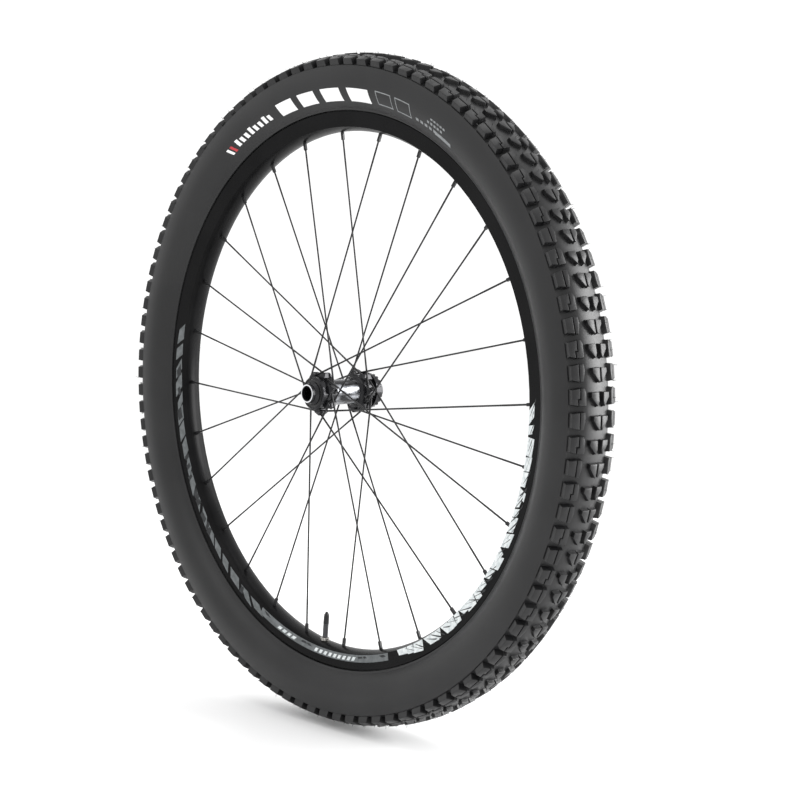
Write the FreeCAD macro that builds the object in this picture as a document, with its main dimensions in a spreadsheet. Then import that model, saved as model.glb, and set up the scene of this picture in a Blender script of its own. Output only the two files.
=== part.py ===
import FreeCAD, Part
import math
import os
import re
import Sketcher

# Bicycle front wheel: knobbly tyre, hollow box rim, 28 straight-pull spokes crossed three times,
# disc hub on two ball bearings with a through-axle bore, and a Presta valve.
# Frame: Y is the wheel's axis, the origin is the wheel's centre, +Z is up, +X is forward.
# -Y is the wheel's right, plain side; +Y is its left side, which carries the brake rotor.
# Angles round the wheel run from +Z towards +X.

DIMENSIONS = (
    # rim
    ("bead_seat_radius", 292.0, "rim radius where the tyre's bead sits"),
    ("lip_height", 5.5, "rim lip above the bead seat"),
    ("rim_half_width", 14.5, "outside, at the lips"),
    ("lip_thickness", 2.0, "wall of the rim's lips"),
    ("lip_ease", 0.1, "rounding of a lip's top, past half its thickness"),
    ("seat_slope", 0.3, "rise of the bead seat towards the lip"),
    ("seat_width", 3.5, "bead seat, across the rim"),
    ("well_depth", 3.5, "centre channel below the bead seat"),
    ("well_half_width", 6.5, "flat bottom of the centre channel"),
    ("bridge_thickness", 2.2, "wall under the centre channel"),
    ("rim_drop", 14.8, "bead seat down to the spoke bed's crest"),
    ("flank_drop", 11.2, "bead seat down to where the flank turns into the spoke bed"),
    ("flank_half_width", 12.0, "half width where the flank turns into the spoke bed"),
    ("bed_thickness", 2.1, "wall of the spoke bed"),
    ("flank_thickness", 1.7, "wall of the rim's flanks"),
    ("tape_thickness", 0.5, "rim tape"),
    ("tape_half_width", 6.2, "rim tape"),
    # tyre and tube
    ("tyre_height", 66.0, "bead seat to tread crown"),
    ("casing_half_width", 29.6, "widest part of the casing"),
    ("casing_rise", 36.3, "bead seat to the casing's widest part"),
    ("casing_thickness", 2.0, "sidewall"),
    ("bead_width", 3.4, "bead, across the tyre"),
    ("bead_clearance", 0.15, "between bead and rim"),
    ("inner_crown_drop", 7.6, "tread crown down to the casing's inside"),
    ("inner_crown_half", 12.0, "flat stretch of the casing's inside under the tread"),
    ("crown_curve", 24.0, "section curve of the casing's inside, under the tread"),
    ("flank_curve", 37.0, "section curve of the casing's inside, at the bead"),
    ("sidewall_curve", 39.0, "section curve of the casing's outside, at the rim"),
    ("shoulder_curve", 60.0, "section curve of the casing's outside, at the side knobs"),
    ("neck_rise", 6.3, "bead seat up to where the casing leaves the rim"),
    ("neck_half_width", 10.8, "half width between the beads' tops"),
    ("lip_cover", 0.9, "casing past the rim's lip"),
    ("lip_gap", 0.6, "casing off the lip's top"),
    ("tread_half_width", 27.5, "to the outer edge of the side knobs"),
    ("tread_drop", 8.0, "crown down to the side knobs' outer edge"),
    ("knob_height", 4.2, "knobs above the tread's base"),
    ("knob_slope", 0.5, "a knob's foot is this much wider than its top"),
    ("side_knob_width", 6.9, "side rib"),
    ("middle_knob_inner", 11.0, "half width to the inner edge of the transition rib"),
    ("middle_knob_outer", 17.5, "half width to the outer edge of the transition rib"),
    ("centre_knob_half", 8.0, "half width of the centre rib"),
    ("tube_thickness", 1.0, "inner tube wall"),
    ("tube_gap", 0.5, "between inner tube and what surrounds it"),
    ("tube_neck_half", 8.2, "inner tube between the beads"),
    ("tube_floor_half", 5.6, "inner tube on the rim tape"),
    # spokes and nipples
    ("lugs_per_flange", 7.0, "spoke lugs on each flange; each holds two spokes"),
    ("holes_ahead", 7.0, "rim holes from a lug to the nipple of its spoke"),
    ("spoke_rise", 2.0, "spoke's line above the hub's flange body"),
    ("spoke_end_radius", 1.0, "thick ends of a butted spoke"),
    ("spoke_middle_radius", 0.9, "thin middle of a butted spoke"),
    ("butt_start", 30.0, "thick stretch at the hub"),
    ("butt_end", 35.0, "thick stretch at the rim"),
    ("butt_taper", 10.0, "length of each taper"),
    ("head_radius", 2.1, "spoke head"),
    ("head_thickness", 1.8, "spoke head"),
    ("head_back", 4.2, "spoke head's bearing face behind the nearest point"),
    ("head_chamfer", 0.6, "edge of a spoke head"),
    ("spoke_clearance", 0.25, "spoke in its hub hole"),
    ("head_clearance", 0.3, "spoke head in its counterbore"),
    ("hole_stagger", 0.5, "rim holes off the centre line, towards their flange"),
    ("nipple_radius", 2.0, "nipple barrel"),
    ("nipple_bore_clearance", 0.04, "spoke thread in the nipple"),
    ("nipple_hole_clearance", 0.15, "nipple in the spoke bed"),
    ("nipple_head_radius", 2.9, "nipple head"),
    ("nipple_head_height", 2.8, "nipple head"),
    ("nipple_head_slope", 0.9, "slopes under and over the nipple's widest part"),
    ("nipple_seat_lift", 0.5, "nipple head above the spoke bed"),
    ("spoke_in_nipple", 1.5, "spoke's end past the spoke bed"),
    ("nipple_out", 8.6, "nipple showing below the spoke bed"),
    ("nipple_flats_end", 2.2, "top of the wrench flats below the spoke bed"),
    ("nipple_flat_half", 1.62, "half the width across the wrench flats"),
    ("nipple_corner", 0.4, "chamfer between the wrench flats"),
    ("access_radius", 3.6, "hole above each nipple in the rim's bridge"),
    # hub
    ("hub_width", 100.0, "between the fork's faces"),
    ("axle_bore_radius", 7.55, "bore for a 15 mm through axle"),
    ("axle_wall_step", 1.2, "axle's shoulder above the bearing's bore"),
    ("axle_end_inset", 4.0, "axle tube's end inside the fork's face"),
    ("bearing_inset", 10.0, "bearing's outer face inside the fork's face"),
    ("bearing_width", 7.0, "bearing"),
    ("bearing_inner_radius", 8.5, "bearing"),
    ("bearing_outer_radius", 15.0, "bearing"),
    ("race_shoulder", 1.45, "races' shoulders either side of the circle of ball centres"),
    ("ball_radius", 2.38, "bearing balls"),
    ("ball_count", 11.0, "balls in each bearing"),
    ("running_gap", 0.05, "between balls, races and cage"),
    ("cage_half_height", 0.65, "ball cage either side of the circle of ball centres"),
    ("cage_half_width", 2.7, "ball cage"),
    ("seal_inset", 0.25, "bearing seal inside the race's face"),
    ("seal_thickness", 0.4, "bearing seal"),
    ("seal_gap", 0.1, "bearing seal off the inner race"),
    ("part_gap", 0.05, "between pieces pushed together"),
    ("shell_inset", 8.0, "hub shell's end inside the fork's face"),
    ("bearing_shoulder", 3.4, "hub shell's shoulder behind each bearing"),
    ("barrel_wall", 2.0, "hub shell between the flanges"),
    ("flange_wall", 2.5, "hub shell outside the bearings, under the lugs"),
    ("flange_width", 12.0, "lugs, along the axle"),
    ("right_flange_inset", 19.7, "right flange's middle inside the fork's face"),
    ("left_flange_inset", 27.6, "left flange's middle inside the fork's face"),
    ("spoke_pair_gap", 4.8, "between a lug's two spokes, along the axle"),
    ("barrel_flare", 5.0, "length over which the barrel widens to a flange"),
    ("lug_half_width", 4.2, "lug"),
    ("lug_hole_length", 12.6, "spoke's hole, from its nearest point to the axle"),
    ("lug_sink", 1.3, "lug's foot inside the flange body"),
    ("lug_shoulder_rise", 1.0, "where a lug's flanks start to slope, above the spoke's line"),
    ("lug_tip_rise", 4.5, "lug's tip above the spoke's line"),
    ("lug_tip_half", 0.9, "flat at the lug's tip"),
    ("lug_corner", 3.5, "slope of a lug's ends, along the axle"),
    ("cut_margin", 1.0, "how far a cut runs past the surface"),
    ("rotor_seat_inset", 16.5, "rotor's seat inside the fork's face"),
    ("rotor_collar_rise", 1.8, "collar behind the rotor, above the spline's teeth"),
    ("rotor_collar_width", 2.0, "collar behind the rotor"),
    ("spline_wall", 2.4, "rotor spline, outside the bearing"),
    ("spline_tooth_height", 1.3, "rotor spline"),
    ("spline_teeth", 20.0, "rotor spline"),
    ("spline_tooth_half", 1.3, "half a tooth's width"),
    ("spline_tip_half", 1.04, "half a tooth's width at its tip"),
    ("end_chamfer", 1.0, "edges of the hub shell's ends"),
    ("race_pad", 0.6, "end cap's step that meets the inner race"),
    ("seal_room", 2.6, "end cap's widest part inside the bearing's outside"),
    ("seal_lip_gap", 0.3, "dust seal inside the hub shell"),
    ("dust_seal_width", 1.0, "dust seal"),
    ("cap_cone_length", 3.0, "end cap's cone"),
    ("cap_nose_radius", 10.0, "end cap at the fork's face"),
    ("cap_nose_length", 4.0, "end cap's straight nose"),
    ("cap_chamfer", 0.4, "end cap's outer edge"),
    ("ring_groove_depth", 0.9, "O-ring groove inside an end cap"),
    ("ring_section_radius", 0.42, "O-ring"),
    ("ring_groove_half", 0.5, "half the width of the O-ring's groove"),
    ("ring_inset", 7.4, "O-ring inside the fork's face"),
    # valve
    ("valve_angle", 6.4, "valve's place past the bottom of the wheel"),
    ("valve_hole_clearance", 0.12, "stem in its holes"),
    ("stem_radius", 3.0, "valve stem"),
    ("stem_bore", 1.95, "valve stem"),
    ("stem_length", 20.0, "valve stem below the spoke bed"),
    ("stem_neck", 1.5, "thinner threaded end of the stem"),
    ("stem_neck_radius", 2.6, "thinner threaded end of the stem"),
    ("stem_foot_radius", 4.4, "stem's foot inside the inner tube"),
    ("stem_foot_height", 0.8, "stem's foot inside the inner tube"),
    ("lock_nut_radius", 5.0, "valve lock nut"),
    ("lock_nut_height", 3.0, "valve lock nut"),
    ("lock_nut_slope", 0.75, "sloped edge of the lock nut"),
    ("lock_nut_lift", 0.15, "valve lock nut off the spoke bed's crest"),
    ("lock_nut_notches", 12.0, "grip notches"),
    ("notch_radius", 0.6, "grip notches"),
    ("core_depth", 12.0, "valve core inside the stem"),
    ("core_radius", 1.9, "valve core inside the stem"),
    ("core_top_radius", 2.4, "valve core above the stem"),
    ("core_top_height", 2.5, "valve core above the stem"),
    ("core_bore", 0.86, "valve core"),
    ("pin_radius", 0.78, "valve core pin"),
    ("pin_out", 5.1, "pin above the core"),
    ("pin_in", 9.0, "pin inside the core"),
    ("core_nut_radius", 1.85, "valve core nut"),
    ("core_nut_height", 2.5, "valve core nut"),
    ("core_nut_slope", 0.5, "sloped edge of the valve core nut"),
    ("cap_start", 19.0, "cap's mouth below the spoke bed"),
    ("cap_length", 13.0, "valve cap"),
    ("cap_mouth_radius", 3.2, "valve cap"),
    ("cap_shoulder_radius", 2.9, "valve cap before its tip"),
    ("cap_tip_radius", 1.2, "valve cap"),
    ("cap_tip_length", 3.4, "valve cap's tapered tip"),
    ("cap_wall", 0.5, "valve cap"),
    ("cap_narrow_radius", 2.1, "narrow part of the cap's cavity"),
    ("cap_wide_depth", 4.4, "wide part of the cap's cavity"),
    ("cap_narrow_depth", 9.5, "narrow part of the cap's cavity"),
)

# Sizes that follow from the ones above, so that pieces that meet change together.
DERIVED = {
    "pitch_radius": "(bearing_inner_radius + bearing_outer_radius) / 2",
    "inner_race_top": "pitch_radius - race_shoulder",
    "outer_race_bottom": "pitch_radius + race_shoulder",
    "cage_inner": "pitch_radius - cage_half_height",
    "cage_outer": "pitch_radius + cage_half_height",
    "axle_outer_radius": "bearing_inner_radius - part_gap",
    "axle_shoulder_radius": "bearing_inner_radius + axle_wall_step",
    "shell_bore": "bearing_outer_radius - bearing_shoulder",
    "barrel_radius": "shell_bore + barrel_wall",
    "flange_body_radius": "bearing_outer_radius + flange_wall",
    "spoke_offset": "flange_body_radius + spoke_rise",
    "lug_root": "flange_body_radius - lug_sink",
    "lug_shoulder": "spoke_offset + lug_shoulder_rise",
    "lug_tip": "spoke_offset + lug_tip_rise",
    "spline_root_radius": "bearing_outer_radius + spline_wall",
    "spline_tip_radius": "spline_root_radius + spline_tooth_height",
    "rotor_collar_radius": "spline_tip_radius + rotor_collar_rise",
    "seal_land": "bearing_outer_radius - seal_room",
}

doc = FreeCAD.newDocument("SpokedWheel")
sheet = doc.addObject("Spreadsheet::Sheet", "Dims")
for row, (alias, size, meaning) in enumerate(DIMENSIONS, start=1):
    sheet.set("A%d" % row, alias)
    sheet.set("B%d" % row, repr(size))
    sheet.set("C%d" % row, meaning)
    sheet.setAlias("B%d" % row, alias)
doc.recompute()

ALIASES = re.compile(r"\b(%s)\b" % "|".join(alias for alias, size, meaning in DIMENSIONS))
DERIVED_NAMES = re.compile(r"\b(%s)\b" % "|".join(DERIVED))
subparts = []


def bound(text):
    """An expression with the derived sizes written out and each dimension's name pointed at the sheet."""
    text = str(text)
    while DERIVED_NAMES.search(text):
        text = DERIVED_NAMES.sub(lambda found: "(%s)" % DERIVED[found[1]], text)
    return ALIASES.sub(r"Dims.\1", text)


def number(text):
    """What an expression comes to now."""
    value = sheet.evalExpression(bound(text))
    return float(value.Value if hasattr(value, "Value") else value)


def bind(thing, path, text):
    thing.setExpression(path, bound(text))


def origin_part(body, role):
    """The body's own origin plane or axis with this role."""
    return next(part for part in body.Origin.OriginFeatures if part.Role == role)


# ---------------------------------------------------------------- sketches

def arc_between(first, last, radius, turn):
    """A circular arc; turn is 1 when it curves to the left of the way from first to last, else -1.
    It always runs counter-clockwise, so with a turn of -1 it starts at last."""
    chord = last - first
    middle = (first + last) * 0.5
    left = FreeCAD.Vector(-chord.y, chord.x, 0).normalize()
    rise = radius - math.sqrt(max(radius ** 2 - (chord.Length / 2) ** 2, 0.0))
    ends = (first, last) if turn > 0 else (last, first)
    return Part.Arc(ends[0], middle - left * turn * rise, ends[1])


def new_sketch(body, name, plane, offset=None):
    """A sketch on an origin plane; offset is (x, y, z, turning axis, angle) in the plane's own frame."""
    sketch = body.newObject("Sketcher::SketchObject", name)
    sketch.AttachmentSupport = [(origin_part(body, plane), "")]
    sketch.MapMode = "FlatFace"
    if offset:
        axis, angle = offset[3], offset[4]
        turn = FreeCAD.Rotation(FreeCAD.Vector(*axis), number(angle) or 1.0)
        sketch.AttachmentOffset = FreeCAD.Placement(FreeCAD.Vector(), turn)
        for letter, text in zip("xyz", offset):
            bind(sketch, "AttachmentOffset.Base." + letter, text)
        bind(sketch, "AttachmentOffset.Rotation.Angle", angle)
    return sketch


def add_constraint(sketch, name, kind, places, text):
    index = sketch.addConstraint(Sketcher.Constraint(kind, *places, number(text)))
    sketch.renameConstraint(index, name)
    bind(sketch, "Constraints." + name, text)


def add_outline(sketch, corners):
    """A closed outline; each corner is (x, y), and with (radius, turn) an arc runs to the next corner."""
    points = [FreeCAD.Vector(number(corner[0]), number(corner[1]), 0) for corner in corners]
    first = sketch.GeometryCount
    starts, ends = [], []
    for index, corner in enumerate(corners):
        here, there = points[index], points[(index + 1) % len(points)]
        forward = True
        if len(corner) == 4:
            edge = sketch.addGeometry(arc_between(here, there, number(corner[2]), corner[3]), False)
            add_constraint(sketch, "arc%d" % edge, "Radius", (edge,), corner[2])
            forward = corner[3] > 0
        else:
            sketch.addGeometry(Part.LineSegment(here, there), False)
        starts.append(1 if forward else 2)
        ends.append(2 if forward else 1)
    for index, corner in enumerate(corners):
        edge = first + index
        after = (index + 1) % len(corners)
        meeting = (edge, ends[index], first + after, starts[after])
        sketch.addConstraint(Sketcher.Constraint("Coincident", *meeting))
        for letter, text in zip("xy", corner):
            kind = "Distance" + letter.upper()
            add_constraint(sketch, "%s%d" % (letter, edge), kind, (-1, 1, edge, starts[index]), text)


def add_circle(sketch, x, y, radius):
    circle = Part.Circle(FreeCAD.Vector(number(x), number(y), 0), FreeCAD.Vector(0, 0, 1), number(radius))
    edge = sketch.addGeometry(circle, False)
    add_constraint(sketch, "x%d" % edge, "DistanceX", (-1, 1, edge, 3), x)
    add_constraint(sketch, "y%d" % edge, "DistanceY", (-1, 1, edge, 3), y)
    add_constraint(sketch, "radius%d" % edge, "Radius", (edge,), radius)


def mirrored(corners):
    """The corners of a section that is the same on both sides of the wheel; y is written for one side.
    Arcs are written on the first side, and come back on the other with the same curve."""
    other = []
    for index in range(len(corners) - 1, -1, -1):
        x, y = corners[index][:2]
        arc = corners[index - 1][2:] if index > 0 else ()
        other.append((x, "-(%s)" % y) + tuple(arc))
    return list(corners) + other


# ---------------------------------------------------------------- features

def new_body(name):
    body = doc.addObject("PartDesign::Body", name)
    body.Label = name
    return body


def turned(body, sketch, axis="V_Axis", kind="PartDesign::Revolution"):
    feature = body.newObject(kind, sketch.Name + "Turn")
    feature.Profile = sketch
    feature.ReferenceAxis = (sketch, [axis])
    feature.Angle = 360
    sketch.Visibility = False
    doc.recompute()
    return feature


def padded(body, sketch, length, kind="PartDesign::Pad"):
    feature = body.newObject(kind, sketch.Name + "Pad")
    feature.Profile = sketch
    bind(feature, "Length", length)
    sketch.Visibility = False
    doc.recompute()
    return feature


def patterned(body, originals, count, axis="Y_Axis"):
    """Copies spaced evenly all the way round an origin axis of the body."""
    pattern = body.newObject("PartDesign::PolarPattern", originals[-1].Name + "Ring")
    pattern.Originals = originals
    pattern.Axis = (origin_part(body, axis), [""])
    pattern.Angle = 360
    bind(pattern, "Occurrences", count)
    body.Tip = pattern
    doc.recompute()
    return pattern


def keep(thing, label=None):
    """List a finished sub-part under the name its file gets."""
    if label:
        thing.Label = label
    subparts.append(thing)
    return thing


def ring_body(name, outlines, circles=()):
    """A piece turned round the wheel's axis from sections written as (radius, place along the axle)."""
    body = new_body(name)
    sketch = new_sketch(body, name + "_section", "XY_Plane")
    for corners in outlines:
        add_outline(sketch, corners)
    for circle in circles:
        add_circle(sketch, *circle)
    turned(body, sketch)
    return body


def cut_from(base, tools, label):
    result = doc.addObject("Part::Cut", label)
    result.Base = base
    result.Tool = tools
    doc.recompute()
    return keep(result, label)


# ---------------------------------------------------------------- named places

rim_top = "(bead_seat_radius + lip_height)"
bed_radius = "(bead_seat_radius - rim_drop)"
well_radius = "(bead_seat_radius - well_depth)"
chamber_top = "(bead_seat_radius - well_depth - bridge_thickness)"
lip_inner = "(rim_half_width - lip_thickness)"
tyre_radius = "(bead_seat_radius + tyre_height)"
half_hub = "(hub_width / 2)"
spoke_step = "(90deg / lugs_per_flange)"
spoke_reach = "sqrt(%s ^ 2 - spoke_offset ^ 2)" % bed_radius
foot_angle = "(holes_ahead * %s - acos(spoke_offset / %s))" % (spoke_step, bed_radius)

# side: its direction along the axle, how far its flange is inside the fork's face, its lugs' first place
SIDES = {
    "right": (-1, "right_flange_inset", "(2 * %s)" % spoke_step),
    "left": (1, "left_flange_inset", "(3 * %s)" % spoke_step),
}
# lacing: which of a lug's two spoke lines it takes, outer or inner, and the way it leaves the lug
LACINGS = {"leading": (1, 1), "trailing": (-1, -1)}


# ---------------------------------------------------------------- rim and tyre

def tread_at(half_width):
    """The tread's outer radius at a distance from the wheel's middle plane."""
    return "(%s - tread_drop * ((%s) / tread_half_width) ^ 2)" % (tyre_radius, half_width)


def crest_curve(half_width, rise):
    """Radius of the arc that rises by this much over twice this half width."""
    return "(((%s) ^ 2 + (%s) ^ 2) / (2 * (%s)))" % (half_width, rise, rise)


def make_rim_blank():
    """Hollow box section: lips, bead seats and centre channel outside, spoke bed inside."""
    flank_inner = "(flank_half_width - flank_thickness)"
    chamber_side = "(bead_seat_radius - flank_drop + flank_thickness)"
    flank_lean = ("(rim_half_width - flank_half_width) * (flank_drop - well_depth - bridge_thickness)"
                  " / (flank_drop + lip_height - lip_thickness / 2)")
    outside = mirrored((
        (well_radius, "well_half_width"),
        ("bead_seat_radius", lip_inner + " - seat_width"),
        ("bead_seat_radius + seat_slope", lip_inner),
        (rim_top + " - lip_thickness / 2", lip_inner, "lip_thickness / 2 + lip_ease", 1),
        (rim_top + " - lip_thickness / 2", "rim_half_width"),
        ("bead_seat_radius - flank_drop", "flank_half_width",
         crest_curve("flank_half_width", "rim_drop - flank_drop"), 1),
    ))
    chamber = mirrored((
        (chamber_top, "%s + %s" % (flank_inner, flank_lean)),
        (chamber_side, flank_inner,
         crest_curve(flank_inner, "%s - %s - bed_thickness" % (chamber_side, bed_radius)), 1),
    ))
    return ring_body("rim_blank", (outside, chamber))


def make_tyre():
    """Casing with beads, and the tread's knob rows as plain ribs."""
    widest = "bead_seat_radius + casing_rise"
    toe = lip_inner + " - bead_clearance"
    side_knob_inner = "(tread_half_width - side_knob_width)"

    def foot(half_width):
        return "%s - knob_height" % tread_at(half_width)

    section = mirrored((
        (tyre_radius + " - inner_crown_drop", "inner_crown_half", "crown_curve", 1),
        (widest, "casing_half_width - casing_thickness", "flank_curve", 1),
        ("bead_seat_radius + neck_rise", "neck_half_width"),
        ("bead_seat_radius + bead_clearance", "%s - bead_width" % toe),
        ("bead_seat_radius + seat_slope + bead_clearance", toe),
        (rim_top + " + lip_gap", toe),
        (rim_top + " + lip_gap", "rim_half_width + lip_cover", "sidewall_curve", -1),
        (widest, "casing_half_width", "shoulder_curve", -1),
        (foot("tread_half_width"), "tread_half_width + knob_slope"),
        (tread_at("tread_half_width"), "tread_half_width"),
        (tread_at(side_knob_inner), side_knob_inner),
        (foot(side_knob_inner), side_knob_inner + " - knob_slope"),
        (foot("middle_knob_outer"), "middle_knob_outer + knob_slope"),
        (tread_at("middle_knob_outer"), "middle_knob_outer"),
        (tread_at("middle_knob_inner"), "middle_knob_inner"),
        (foot("middle_knob_inner"), "middle_knob_inner - knob_slope"),
        (foot("centre_knob_half"), "centre_knob_half + knob_slope"),
        (tread_at("centre_knob_half"), "centre_knob_half",
         crest_curve("centre_knob_half", "tread_drop * (centre_knob_half / tread_half_width) ^ 2"), -1),
    ))
    return keep(ring_body("tyre", (section,)))


def tube_outline(inset):
    """The inner tube's section, drawn in from its outside by an inset."""
    inside = "tube_gap + (%s)" % inset
    return mirrored((
        ("%s - inner_crown_drop - (%s)" % (tyre_radius, inside), "inner_crown_half", "crown_curve", 1),
        ("bead_seat_radius + casing_rise", "casing_half_width - casing_thickness - (%s)" % inside,
         "flank_curve", 1),
        ("bead_seat_radius + neck_rise", "tube_neck_half - (%s)" % inset),
        ("%s + tape_thickness + %s" % (well_radius, inside), "tube_floor_half - (%s)" % inset),
    ))


def place_valve(thing):
    """Stand a piece made along Z on the spoke bed at the valve, pointing at the wheel's axis."""
    thing.Placement = FreeCAD.Placement(FreeCAD.Vector(), FreeCAD.Rotation(FreeCAD.Vector(0, 1, 0), 1))
    bind(thing, "Placement.Base.x", "-%s * sin(valve_angle * 1deg)" % bed_radius)
    bind(thing, "Placement.Base.z", "-%s * cos(valve_angle * 1deg)" % bed_radius)
    bind(thing, "Placement.Rotation.Angle", "valve_angle * 1deg")
    return thing


def make_valve_hole():
    """Tool that drills the rim, the tape and the inner tube's floor for the valve stem."""
    hole = doc.addObject("Part::Cylinder", "valve_hole")
    bind(hole, "Radius", "stem_radius + valve_hole_clearance")
    bind(hole, "Height", "rim_drop + neck_rise")
    place_valve(hole)
    turn = "valve_angle * 1deg"
    outer = "(bead_seat_radius + neck_rise / 2)"
    bind(hole, "Placement.Base.x", "-%s * sin(%s)" % (outer, turn))
    bind(hole, "Placement.Base.z", "-%s * cos(%s)" % (outer, turn))
    return hole


# ---------------------------------------------------------------- spokes and nipples

def spoke_line(side, lacing):
    """Texts for one group's spoke line: its foot along the axle, its turn, its length, its group's turn."""
    way, inset, first_lug = SIDES[side]
    line, lead = LACINGS[lacing]
    foot = "(%d * (%s - %s + %d * spoke_pair_gap / 2))" % (way, half_hub, inset, line)
    tilt = "atan((%d * hole_stagger - %s) / %s)" % (way, foot, spoke_reach)
    turn = tilt if lead > 0 else "(180deg - %s)" % tilt
    length = "sqrt(%s ^ 2 - spoke_offset ^ 2 + (%d * hole_stagger - %s) ^ 2)" % (bed_radius, way, foot)
    group_turn = "(%s + %d * %s)" % (first_lug, lead, foot_angle)
    return foot, turn, length, group_turn


def finish_group(body, features, group_turn):
    """Repeat a piece at every lug, and turn the group to its own lugs."""
    patterned(body, features, "lugs_per_flange")
    body.Placement = FreeCAD.Placement(FreeCAD.Vector(), FreeCAD.Rotation(FreeCAD.Vector(0, 1, 0), 1))
    bind(body, "Placement.Rotation.Angle", group_turn)
    doc.recompute()
    return body


def spoke_sketch(body, name, foot, turn):
    """A sketch whose x runs along the spoke from its nearest point to the axle."""
    return new_sketch(body, name, "XY_Plane", ("0", foot, "spoke_offset", (0, 0, 1), turn))


def make_spokes(side, lacing):
    foot, turn, length, group_turn = spoke_line(side, lacing)
    body = new_body("%s_%s_spokes" % (side, lacing))
    sketch = spoke_sketch(body, body.Name + "_section", foot, turn)
    head_end = "-(head_back + head_thickness)"
    rim_butt = "%s - butt_end" % length
    add_outline(sketch, (
        (head_end, "0"),
        (head_end, "head_radius - head_chamfer"),
        ("-(head_back + head_thickness - head_chamfer)", "head_radius"),
        ("-head_back", "head_radius"),
        ("-head_back", "spoke_end_radius"),
        ("butt_start", "spoke_end_radius"),
        ("butt_start + butt_taper", "spoke_middle_radius"),
        ("%s - butt_taper" % rim_butt, "spoke_middle_radius"),
        (rim_butt, "spoke_end_radius"),
        ("%s + spoke_in_nipple" % length, "spoke_end_radius"),
        ("%s + spoke_in_nipple" % length, "0"),
    ))
    return keep(finish_group(body, [turned(body, sketch, "H_Axis")], group_turn))


def make_nipples(side, lacing):
    foot, turn, length, group_turn = spoke_line(side, lacing)
    body = new_body("%s_%s_nipples" % (side, lacing))
    bore = "spoke_end_radius + nipple_bore_clearance"
    seat = "%s + bed_thickness + nipple_seat_lift" % length
    shank = spoke_sketch(body, body.Name + "_section", foot, turn)
    add_outline(shank, (
        ("%s - nipple_flats_end" % length, bore),
        ("%s - nipple_flats_end" % length, "nipple_radius"),
        (seat, "nipple_radius"),
        ("%s + nipple_head_slope" % seat, "nipple_head_radius"),
        ("%s + nipple_head_height - nipple_head_slope" % seat, "nipple_head_radius"),
        ("%s + nipple_head_height" % seat, "nipple_radius"),
        ("%s + nipple_head_height" % seat, bore),
    ))
    round_part = turned(body, shank, "H_Axis")
    end = "(%s - nipple_out)" % length
    flats = new_sketch(body, body.Name + "_flats", "YZ_Plane",
                       ("%s + %s * sin(%s)" % (foot, end, turn), "spoke_offset",
                        "%s * cos(%s)" % (end, turn), (0, 1, 0), turn))
    flat, cut = "nipple_flat_half", "nipple_flat_half - nipple_corner"
    add_outline(flats, [
        (flat, "-(%s)" % cut), (flat, cut), (cut, flat), ("-(%s)" % cut, flat),
        ("-%s" % flat, cut), ("-%s" % flat, "-(%s)" % cut), ("-(%s)" % cut, "-%s" % flat),
        (cut, "-%s" % flat),
    ])
    add_circle(flats, "0", "0", bore)
    wrench_part = padded(body, flats, "nipple_out - nipple_flats_end")
    return keep(finish_group(body, [round_part, wrench_part], group_turn))


def make_drill(side, lacing):
    """Tool for one group: hole and counterbore in the hub, hole and access hole in the rim."""
    foot, turn, length, group_turn = spoke_line(side, lacing)
    body = new_body("%s_%s_drill" % (side, lacing))
    sketch = spoke_sketch(body, body.Name + "_section", foot, turn)
    counterbore = "head_radius + head_clearance"
    hole = "spoke_end_radius + spoke_clearance"
    barrel = "nipple_radius + nipple_hole_clearance"
    open_end = "-(head_back + lug_half_width)"
    add_outline(sketch, (
        (open_end, "0"),
        (open_end, counterbore),
        ("-head_back", counterbore),
        ("-head_back", hole),
        ("lug_hole_length", hole),
        ("lug_hole_length", "0"),
    ))
    above_bed = "%s + bed_thickness + cut_margin" % length
    add_outline(sketch, (
        ("%s - nipple_out" % length, "0"),
        ("%s - nipple_out" % length, barrel),
        (above_bed, barrel),
        (above_bed, "access_radius"),
        ("%s + rim_drop" % length, "access_radius"),
        ("%s + rim_drop" % length, "0"),
    ))
    return finish_group(body, [turned(body, sketch, "H_Axis")], group_turn)


# ---------------------------------------------------------------- hub

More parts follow.
